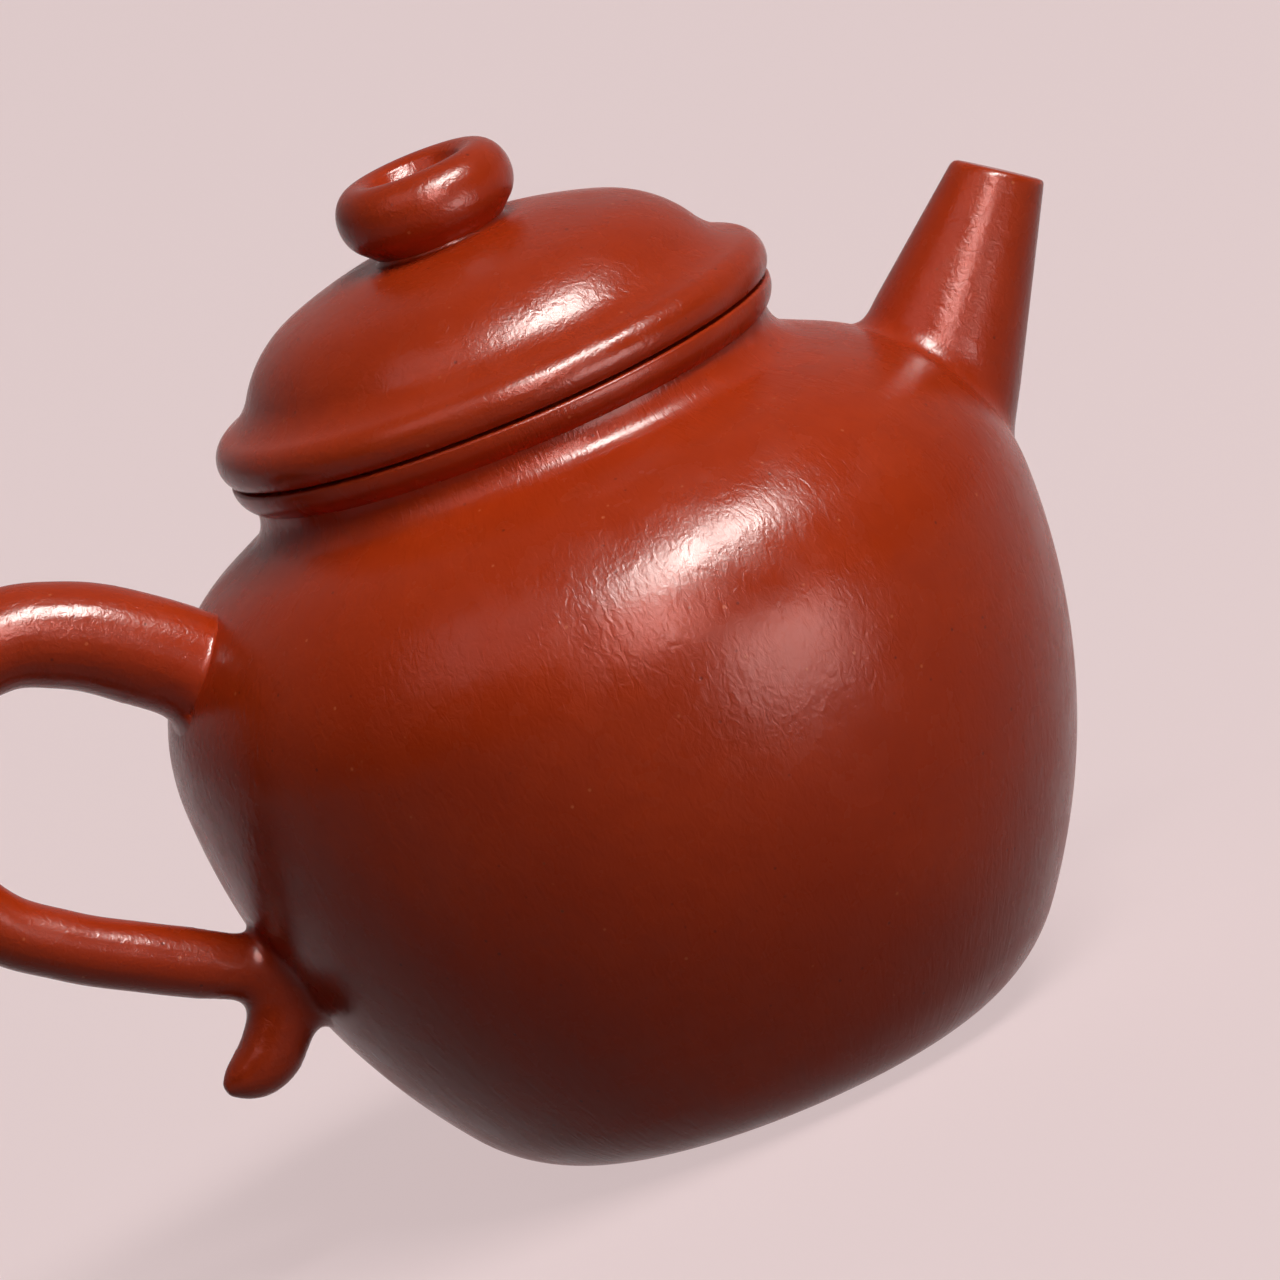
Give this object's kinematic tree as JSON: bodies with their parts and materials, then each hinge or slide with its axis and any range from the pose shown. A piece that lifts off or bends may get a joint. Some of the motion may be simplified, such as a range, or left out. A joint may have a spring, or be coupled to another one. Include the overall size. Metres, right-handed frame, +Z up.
{
  "type": "teapot",
  "caption": "Round-bodied unglazed clay teapot with a short straight spout, an ear-shaped handle with a curled tail, and a domed lift-off lid with a cupped, vented knob.",
  "frame": {"origin": "centre of the flat base, on the pot's upright axis", "axes": "+Z up along the pot's axis, +X towards the spout, with the handle on -X"},
  "size_m": [0.1161, 0.0784, 0.0863],
  "materials": {
    "red_clay": "satin, burnished unglazed clay with fine specks and shrinkage wrinkles"
  },
  "bodies": {
    "pot": {"base_disc": "red_clay", "body_wall": "red_clay", "shoulder_disc": "red_clay", "neck_collar": "red_clay", "mouth_rim": "red_clay", "strainer": "red_clay", "spout": "red_clay", "handle": "red_clay", "handle_tail": "red_clay"},
    "lid": {"lid_dome": "red_clay", "lid_brim": "red_clay", "lid_flange": "red_clay", "knob_stem": "red_clay", "knob": "red_clay"}
  },
  "joints": [
    {"name": "lid_lift", "type": "slide", "parent": "pot", "child": "lid", "axis": [0, 0, 1], "range_m": [0, 0.03]}
  ]
}
